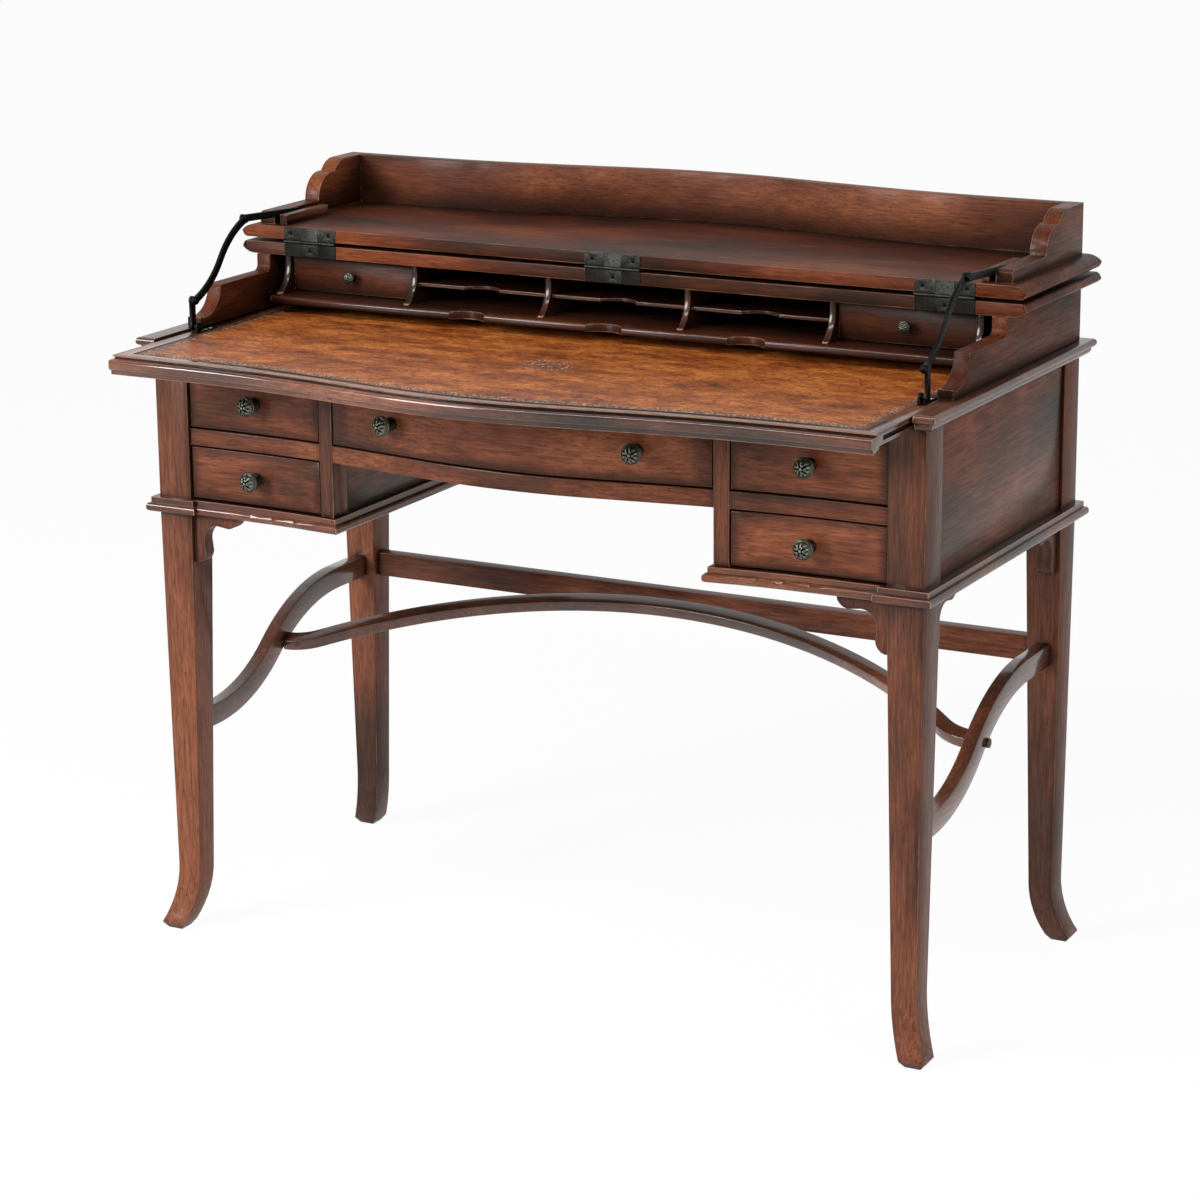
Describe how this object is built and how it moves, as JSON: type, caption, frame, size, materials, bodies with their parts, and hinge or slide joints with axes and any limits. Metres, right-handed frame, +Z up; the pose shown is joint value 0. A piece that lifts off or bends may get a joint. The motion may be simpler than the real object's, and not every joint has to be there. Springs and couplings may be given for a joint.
{
  "type": "fold-over writing desk",
  "caption": "Writing desk with a serpentine front: drawers round a kneehole, a sliding leather writing surface, pigeonholes, and a fold-over lid whose jointed stays draw the slide in.",
  "frame": {"origin": "on the floor, under the middle of the open desk's outline", "axes": "+X to the writer's right, +Y to the desk's back, +Z up; the drawers face -Y"},
  "size_m": [1.074, 0.6777, 0.938],
  "materials": {
    "mahogany": "polished",
    "drawer_wood": "satin",
    "leather": "mottled",
    "bronze": "aged",
    "hinge_iron": "dull",
    "stay_iron": "matte black"
  },
  "bodies": {
    "frame": {"legs": "mahogany", "apron_brackets": "mahogany", "side_stretchers": "mahogany", "stretcher_pegs": "mahogany", "hoop_stretcher": "mahogany", "back_stretcher": "mahogany", "pedestal_bases": "mahogany", "side_panels": "mahogany", "kneehole_panels": "mahogany", "front_stiles": "mahogany", "drawer_rails": "mahogany", "top_rail": "mahogany", "dust_board": "drawer_wood", "back_panel": "mahogany", "drawer_runners": "drawer_wood", "waist_rails": "mahogany", "waist_rail_back": "mahogany", "slide_runners": "drawer_wood", "case_sides": "mahogany", "case_back": "mahogany", "fixed_top": "mahogany", "unit_base": "mahogany", "dividers": "mahogany", "shelves": "mahogany", "hinge_case_leaves": "hinge_iron", "hinge_pins": "hinge_iron", "hinge_case_screws": "hinge_iron"},
    "lid": {"lid_panel": "mahogany", "gallery_sides": "mahogany", "gallery_back": "mahogany", "stay_strips": "mahogany", "hinge_lid_leaves": "hinge_iron", "hinge_lid_screws": "hinge_iron", "lid_arms": "stay_iron"},
    "slide": {"slide_board": "mahogany", "writing_leather": "leather", "stay_plates": "stay_iron"},
    "links": {"stay_links": "stay_iron"},
    "bars": {"stay_bars": "stay_iron"},
    "drawer_lower_left": {"drawer_front_lower_left": "mahogany", "drawer_tray_lower_left": "drawer_wood", "drawer_knob_lower_left": "bronze"},
    "drawer_upper_left": {"drawer_front_upper_left": "mahogany", "drawer_tray_upper_left": "drawer_wood", "drawer_knob_upper_left": "bronze"},
    "drawer_lower_right": {"drawer_front_lower_right": "mahogany", "drawer_tray_lower_right": "drawer_wood", "drawer_knob_lower_right": "bronze"},
    "drawer_upper_right": {"drawer_front_upper_right": "mahogany", "drawer_tray_upper_right": "drawer_wood", "drawer_knob_upper_right": "bronze"},
    "drawer_centre": {"drawer_front_centre": "mahogany", "drawer_tray_centre": "drawer_wood", "drawer_knob_centre": "bronze"},
    "small_drawer_left": {"small_front_left": "mahogany", "small_tray_left": "drawer_wood", "small_knob_left": "bronze"},
    "small_drawer_right": {"small_front_right": "mahogany", "small_tray_right": "drawer_wood", "small_knob_right": "bronze"}
  },
  "joints": [
    {"name": "lid_fold", "type": "hinge", "parent": "frame", "child": "lid", "pos_m": [0, 0.05325, 0.8565], "axis": [1, 0, 0], "range_deg": [0, 180]},
    {"name": "writing_slide", "type": "slide", "parent": "frame", "child": "slide", "axis": [0, 1, 0], "range_m": [0, 0.093]},
    {"name": "stay_link_turn", "type": "hinge", "parent": "slide", "child": "links", "pos_m": [0, -0.12875, 0.776], "axis": [1, 0, 0], "range_deg": [0, 60]},
    {"name": "stay_bar_turn", "type": "hinge", "parent": "links", "child": "bars", "pos_m": [0, -0.12875, 0.8085], "axis": [1, 0, 0], "range_deg": [-100, 0]},
    {"name": "drawer_lower_left_slide", "type": "slide", "parent": "frame", "child": "drawer_lower_left", "axis": [0, -1, 0], "range_m": [0, 0.26]},
    {"name": "drawer_upper_left_slide", "type": "slide", "parent": "frame", "child": "drawer_upper_left", "axis": [0, -1, 0], "range_m": [0, 0.26]},
    {"name": "drawer_lower_right_slide", "type": "slide", "parent": "frame", "child": "drawer_lower_right", "axis": [0, -1, 0], "range_m": [0, 0.26]},
    {"name": "drawer_upper_right_slide", "type": "slide", "parent": "frame", "child": "drawer_upper_right", "axis": [0, -1, 0], "range_m": [0, 0.26]},
    {"name": "drawer_centre_slide", "type": "slide", "parent": "frame", "child": "drawer_centre", "axis": [0, -1, 0], "range_m": [0, 0.26]},
    {"name": "small_drawer_left_slide", "type": "slide", "parent": "frame", "child": "small_drawer_left", "axis": [0, -1, 0], "range_m": [0, 0.12]},
    {"name": "small_drawer_right_slide", "type": "slide", "parent": "frame", "child": "small_drawer_right", "axis": [0, -1, 0], "range_m": [0, 0.12]}
  ],
  "couplings": [
    {"joint": "writing_slide", "follows": "lid_fold", "m_per_rad": 0.029603},
    {"joint": "stay_link_turn", "follows": "lid_fold", "ratio": 0.33333},
    {"joint": "stay_bar_turn", "follows": "lid_fold", "ratio": -0.55556}
  ]
}
